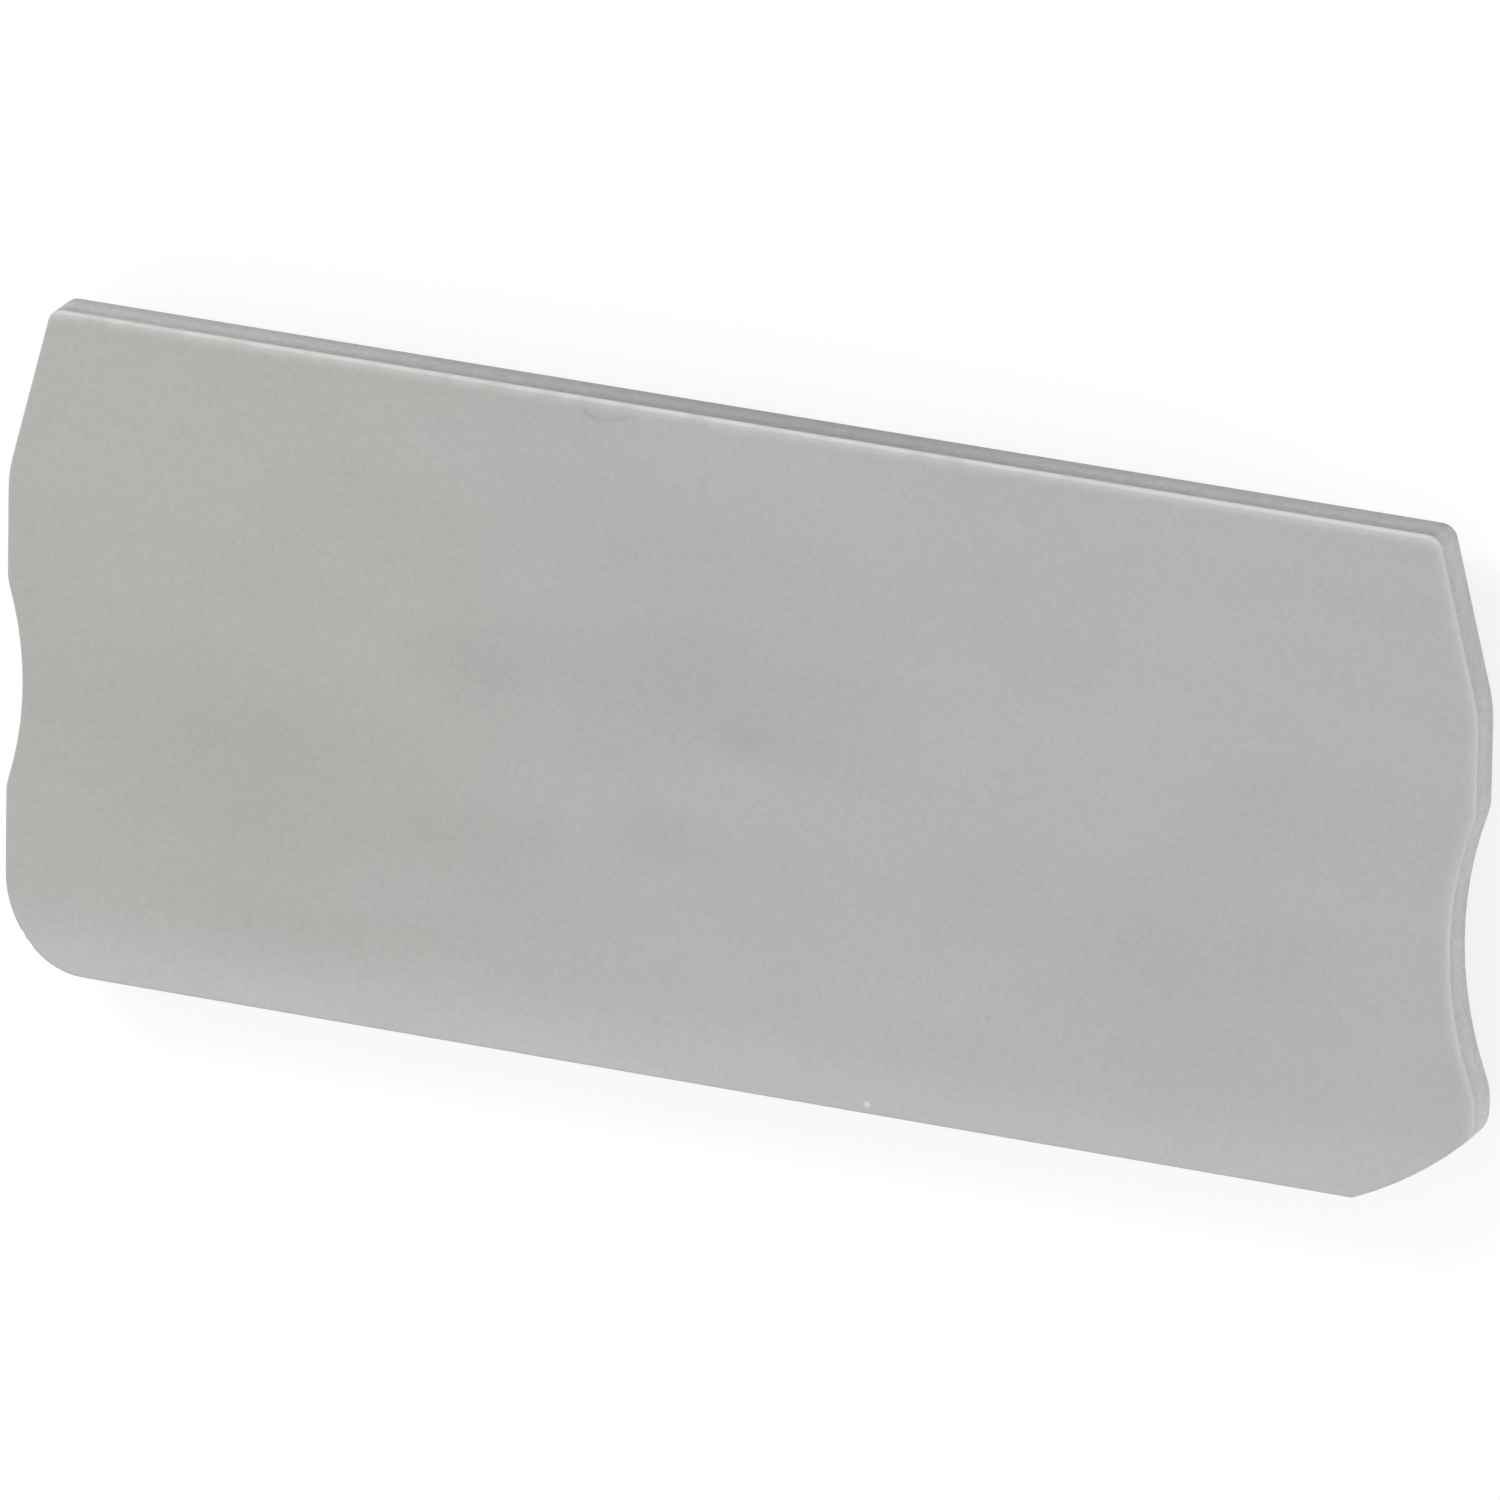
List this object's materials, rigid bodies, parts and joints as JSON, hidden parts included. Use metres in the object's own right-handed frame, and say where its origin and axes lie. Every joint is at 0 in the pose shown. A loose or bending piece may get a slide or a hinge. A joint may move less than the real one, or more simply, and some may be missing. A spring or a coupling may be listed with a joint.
{
  "type": "terminal block end cover",
  "caption": "Thin moulded end cover for a rail-mounted terminal block, with a smooth outer face, hollowed flanks, a raised inner rim and press-in locating pegs.",
  "frame": {"origin": "below the middle of the outline, in the plane of the peg tips that the cover rests on", "axes": "+X along the length towards the flank with the longer hollow, +Y from the rail side towards the wiring side, +Z out of the smooth outer face"},
  "size_m": [0.084, 0.0372, 0.0052],
  "materials": {
    "light_grey_plastic": "light grey insulating plastic with a fine matte mould texture"
  },
  "bodies": {
    "root": {"end_cover": "light_grey_plastic"}
  },
  "joints": []
}
